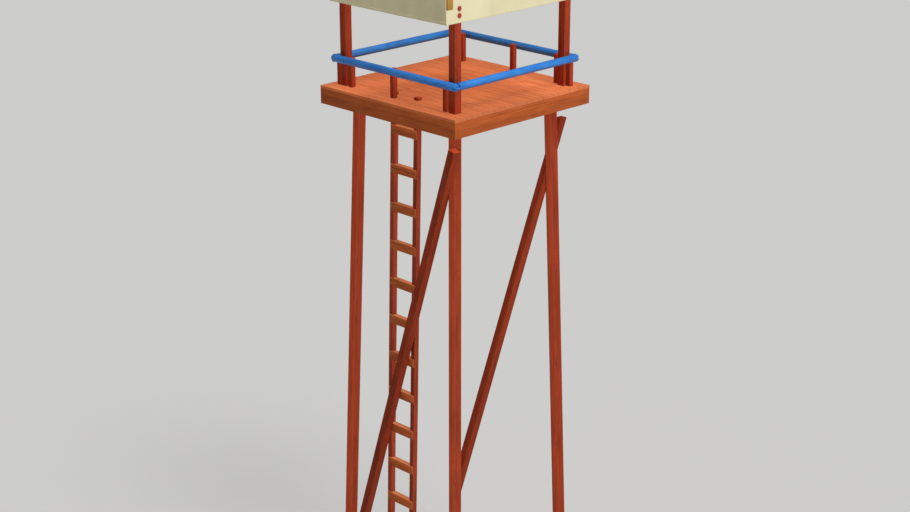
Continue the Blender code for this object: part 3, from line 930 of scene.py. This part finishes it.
def canopy_rows(loop):
    """Rings of the sheet from below the peak to the hem, as lists of points."""
    rows = []
    for ring in range(1, SLOPE_RINGS + 1):
        rows.append([slope_point(*eave, ring / SLOPE_RINGS) for eave in loop])
    above_notch = eave_z - notch_high
    below_notch = eave_z - notch_low
    drops = spread_out(FIRST_DROP, above_notch, 3)
    drops += spread_out(above_notch, below_notch, 5)
    drops += spread_out(below_notch, skirt_drop, 8)
    drops.append(skirt_drop)
    for drop in drops:
        row = []
        for (x, y), (out_x, out_y), share in loop:
            along = x * abs(out_y) + y * abs(out_x)
            seed = out_x + 2 * out_y
            depth = drop / skirt_drop
            loose = min(1.0, max(0.0, share - 0.38) * 2.6) * depth
            out = (SKIRT_OUT + SKIRT_WAVE * ripple(along, seed)) * loose
            out += PUCKER * 0.6 * pucker(along, seed) * min(1.0, 3 * share) * (1 - depth) ** 4
            sunk = EAVE_SAG * share * (1 - depth)
            row.append(Vector((x + out_x * out, y + out_y * out, eave_z - drop - sunk)))
        rows.append(row)
    return rows


def turn_out(shape, outward):
    """Turn a sheet's faces to look outward, all to one side."""
    bmesh.ops.recalc_face_normals(shape, faces=shape.faces)
    if sum(face.normal.dot(outward) for face in shape.faces) < 0:
        bmesh.ops.reverse_faces(shape, faces=shape.faces)


def make_canopy(loop, rows):
    """The sheet between its rings, open at the notches, with its flat weave kept for the looks."""
    shape = bmesh.new()
    peak = shape.verts.new((0.0, 0.0, peak_z))
    grid = [[shape.verts.new(point) for point in row] for row in rows]
    count = len(loop)
    for here in range(count):
        after = (here + 1) % count
        shape.faces.new((peak, grid[0][here], grid[0][after]))
        for ring in range(len(grid) - 1):
            upper, lower = grid[ring], grid[ring + 1]
            outward = loop[here][1]
            middle = (rows[ring][here] + rows[ring + 1][after]) / 2
            beside_beam = outward[0] and abs(middle.y) > notch_y - 0.001
            if beside_beam and notch_low < middle.z < notch_high and ring >= SLOPE_RINGS - 1:
                continue
            shape.faces.new((upper[here], lower[here], lower[after], upper[after]))
    turn_out(shape, Vector((0, 0, 1)))
    obj = add_piece("canopy_canvas", shape, canvas)
    points = numpy.array([vertex.co for vertex in obj.data.vertices])
    x, y, z = points.T
    flat_along = numpy.where(numpy.abs(x) / sheet_x > numpy.abs(y) / sheet_y, y, x)
    set_vectors(obj.data, "cloth", numpy.stack((flat_along, z * 1.2 + numpy.hypot(x, y), z), 1))
    thick = obj.modifiers.new("thickness", "SOLIDIFY")
    thick.thickness = CLOTH
    thick.offset = -1.0
    return obj


loop = eave_loop()
rows = canopy_rows(loop)
canopy = make_canopy(loop, rows)
slant_front = hypot(sheet_y, peak_z - eave_z)
slant_right = hypot(sheet_x, peak_z - eave_z)
flat_area = 2 * sheet_x * slant_front + 2 * sheet_y * slant_right
flat_area += 4 * (sheet_x + sheet_y) * skirt_drop
fit(canopy, "canvas", "canopy_front", "canopy_right", "canopy_back", "canopy_left")


# Canopy edging: a doubled hem round the foot of the skirts, felled seams down the hips and
# between the widths of each gore, and a welted seam along the eaves, all sewn with waxed thread.
# Two red bolts at each end of the side skirts fix them to the posts.
SEAM_STEPS = 24
SEAM_GAP = 0.01
HEM_LIFT = 0.0016
HEM_STITCHES = (HEM_WIDTH * 0.38, -HEM_WIDTH * 0.30)
EAVE_BAND_WIDTH = 0.026
EAVE_BAND_DROP = 0.016
HIP_SEAM_WIDTH = 0.034
HIP_SEAM_LIFT = 0.0022
HIP_SEAM_LEAN = 2.6
HIP_STITCHES = (0.011, -0.011)
WIDTH_SEAM_WIDTH = 0.024
WIDTH_SEAM_LIFT = 0.0018
WIDTH_STITCHES = (0.008, -0.008)
STITCH_LIFT = 0.0016
STITCH_PITCH = 0.013
STITCH_SIZE = {"Length": 0.0085, "Thickness": 0.0022}
THREAD_PALE = (0.56, 0.47, 0.28)
THREAD_DEEP = (0.42, 0.34, 0.19)
STRIP_SECTION = (
    (-0.5, 0.0), (-0.47, 0.75), (-0.40, 1.0), (0.0, 0.9), (0.40, 1.0), (0.47, 0.75), (0.5, 0.0)
)


def strip(name, centre, sideways, normals, width, lift):
    """A narrow band of canvas along a line, with its long edges turned under."""
    shape = bmesh.new()
    rows = []
    for point, side, normal in zip(centre, sideways, normals):
        row = []
        for across, rise in STRIP_SECTION:
            row.append(shape.verts.new(point + side * width * across + normal * lift * rise))
        rows.append(row)
    for upper, lower in zip(rows, rows[1:]):
        for here in range(len(upper) - 1):
            shape.faces.new((upper[here], lower[here], lower[here + 1], upper[here + 1]))
    turn_out(shape, normals[0])
    obj = add_piece(name, shape, canvas)
    lengths = [0.0]
    for first, second in zip(centre, centre[1:]):
        lengths.append(lengths[-1] + (second - first).length)
    cloth = [(width * across, length, 0.0) for length in lengths for across, _ in STRIP_SECTION]
    set_vectors(obj.data, "cloth", cloth)
    return obj


edging = []
stitch_points = []
stitch_facings = []
stitch_runs = []
corner_places = [number for number, (_, _, share) in enumerate(loop) if share < 1e-6]
corner_places.append(len(loop))


def sew(centre, sideways, normals, offsets):
    """Rows of stitches in waxed thread along a line, each a little off its middle."""
    for offset in offsets:
        for first, second, side, normal in zip(centre, centre[1:], sideways, normals):
            run = second - first
            steps = max(1, round(run.length / STITCH_PITCH))
            for step in range(steps):
                middle = first + run * (step + 0.5) / steps
                stitch_points.append(middle + side * offset + normal * STITCH_LIFT)
                stitch_facings.append(normal)
                stitch_runs.append(run.normalized())


def add_band(name, centre, sideways, normals, width, lift, stitches):
    """A strip of canvas and the rows of stitches that hold it."""
    edging.append(strip(name, centre, sideways, normals, width, lift))
    sew(centre, sideways, normals, stitches)


for number in range(4):
    first, last = corner_places[number], corner_places[number + 1]
    outward = Vector((*loop[first][1], 0.0))
    picked = [place % len(loop) for place in range(first, last + 1)]
    normals = [outward] * len(picked)
    rises = [(rows[-2][place] - rows[-1][place]).normalized() for place in picked]
    hem_line = [rows[-1][place] + rise * HEM_WIDTH / 2 for place, rise in zip(picked, rises)]
    add_band(f"hem_{number}", hem_line, rises, normals, HEM_WIDTH, HEM_LIFT, HEM_STITCHES)

    drop = Vector((0, 0, EAVE_BAND_DROP))
    eave_line = [rows[SLOPE_RINGS - 1][place] - drop for place in picked]
    upright = [Vector((0, 0, 1))] * len(picked)
    add_band(f"eave_band_{number}", eave_line, upright, normals, EAVE_BAND_WIDTH, HEM_LIFT, (0.0,))

    hip = [Vector((0, 0, peak_z))] + [rows[ring][first] for ring in range(SLOPE_RINGS)]
    before = loop[first - 1][1]
    lean = Vector((before[0] + outward.x, before[1] + outward.y, HIP_SEAM_LEAN)).normalized()
    direction = (hip[-1] - hip[0]).normalized()
    across = direction.cross(lean).normalized()
    sides = [across] * len(hip)
    ups = [lean] * len(hip)
    add_band(f"hip_seam_{number}", hip, sides, ups, HIP_SEAM_WIDTH, HIP_SEAM_LIFT, HIP_STITCHES)

    half_side, eave_reach = (sheet_x, sheet_y) if outward.y else (sheet_y, sheet_x)
    along_eave = Vector((abs(outward.y), abs(outward.x), 0.0))
    slope_up = (Vector((0, 0, peak_z - eave_z)) - outward * eave_reach).normalized()
    slope_normal = along_eave.cross(slope_up)
    if slope_normal.z < 0:
        slope_normal = -slope_normal
    for side in (-1, 1):
        seam_along = side * half_side / 3
        seam = []
        for step in range(SEAM_STEPS + 1):
            reach = 1 - step / SEAM_STEPS * (2 / 3 - SEAM_GAP)
            place = along_eave * seam_along / reach + outward * eave_reach
            share = 1 - (seam_along / reach / half_side) ** 2
            seam.append(slope_point((place.x, place.y), (outward.x, outward.y), share, reach))
        sides = [along_eave] * len(seam)
        ups = [slope_normal] * len(seam)
        name = f"width_seam_{number}_{side + 1}"
        add_band(name, seam, sides, ups, WIDTH_SEAM_WIDTH, WIDTH_SEAM_LIFT, WIDTH_STITCHES)


def stitch_tree(material):
    """A short rounded stitch that lies along its run."""
    tree, given = new_tree("stitches", ("Length", "Thickness"))
    bead = add_step(tree, "GeometryNodeMeshUVSphere", {"Segments": 6, "Rings": 3, "Radius": 0.5})
    length, thickness = given["Length"], given["Thickness"]
    sizes = add_step(tree, "ShaderNodeCombineXYZ", {"X": length, "Y": thickness, "Z": thickness})
    sources = {"Geometry": bead.outputs[0], "Scale": sizes.outputs[0]}
    drawn = add_step(tree, "GeometryNodeTransform", sources)
    placed = placed_on_points(tree, given["Geometry"], drawn.outputs[0], with_run=True)
    finish_tree(tree, placed, material)
    return tree


thread, thread_tree, thread_shader = start_material("waxed_thread", 0.6)
twist = noise(thread_tree, own_place(thread_tree), 300.0)
thread_colour = blended(thread_tree, twist, THREAD_DEEP, THREAD_PALE)
thread_tree.links.new(thread_colour, thread_shader.inputs["Base Color"])
sewing = stitch_tree(thread)
stitches = grow("canopy_stitches", stitch_points, stitch_facings, sewing, STITCH_SIZE, stitch_runs)
fit(stitches, "canvas")
for piece in edging:
    fit(piece, "canvas")

SKIRT_BOLT = {"Head": 0.028, "Washer": 0.046, "Thickness": 0.006}
SKIRT_BOLT_SINK = 0.001
SKIRT_BOLT_Y = 1.345
SKIRT_BOLT_HEIGHTS = (1.672, 1.790)
skirt_face = gore_right_high.x - SKIRT_BOLT_SINK
skirt_bolts = []
for side in (-1, 1):
    for corner in (-1, 1):
        for height in SKIRT_BOLT_HEIGHTS:
            place = (side * skirt_face, corner * SKIRT_BOLT_Y, deck_top + height)
            skirt_bolts.append((place, (side, 0, 0)))
add_fixings("skirt_bolts", skirt_bolts, "canvas", red_bolts, SKIRT_BOLT)


# Studio: a wide pale floor under soft light from the right, with fill from all round. Behind the
# floor's edge the backdrop is as pale as the floor.
FLOOR_REACH = 900.0
FLOOR_COLOUR = (0.56, 0.56, 0.55, 1.0)
FILL_COLOUR = (1.0, 0.985, 0.965, 1.0)
FILL_STRENGTH = 0.17
BACKDROP_COLOUR = (0.62, 0.62, 0.61, 1.0)
KEY_TOWARDS = (0.62, -0.035, 0.90)
KEY_ANGLE = 24.0
KEY_STRENGTH = 0.80
EVEN_KEY_STRENGTH = 2.75

floor_mesh = bpy.data.meshes.new("floor")
floor_corners = [(x * FLOOR_REACH, y * FLOOR_REACH, 0) for x, y in ((-1, -1), (1, -1), (1, 1), (-1, 1))]
floor_mesh.from_pydata(floor_corners, [], [(0, 1, 2, 3)])
floor_material, _, floor_shader = start_material("pale_floor", 0.9)
floor_shader.inputs["Base Color"].default_value = FLOOR_COLOUR
floor_mesh.materials.append(floor_material)
floor = add_object("floor", floor_mesh)


def add_sun(name, energy, casts_shadow):
    """One of the two suns that share the key light between them."""
    data = bpy.data.lights.new(name, "SUN")
    data.energy = energy
    data.angle = radians(KEY_ANGLE)
    data.use_shadow = casts_shadow
    add_object(name, data).rotation_euler = Vector(KEY_TOWARDS).to_track_quat("Z", "Y").to_euler()


add_sun("key", KEY_STRENGTH, True)
add_sun("even_key", EVEN_KEY_STRENGTH, False)

world = bpy.data.worlds.new("studio")
world.use_nodes = True
tree = world.node_tree
fill = tree.nodes["Background"]
fill.inputs["Color"].default_value = FILL_COLOUR
fill.inputs["Strength"].default_value = FILL_STRENGTH
backdrop = add_step(tree, "ShaderNodeBackground", {"Color": BACKDROP_COLOUR})
seen = add_step(tree, "ShaderNodeLightPath").outputs["Is Camera Ray"]
sources = enumerate((seen, fill.outputs[0], backdrop.outputs[0]))
choice = add_step(tree, "ShaderNodeMixShader", sources)
tree.links.new(choice.outputs[0], tree.nodes["World Output"].inputs["Surface"])
bpy.context.scene.world = world
bpy.context.scene.view_settings.view_transform = "Standard"
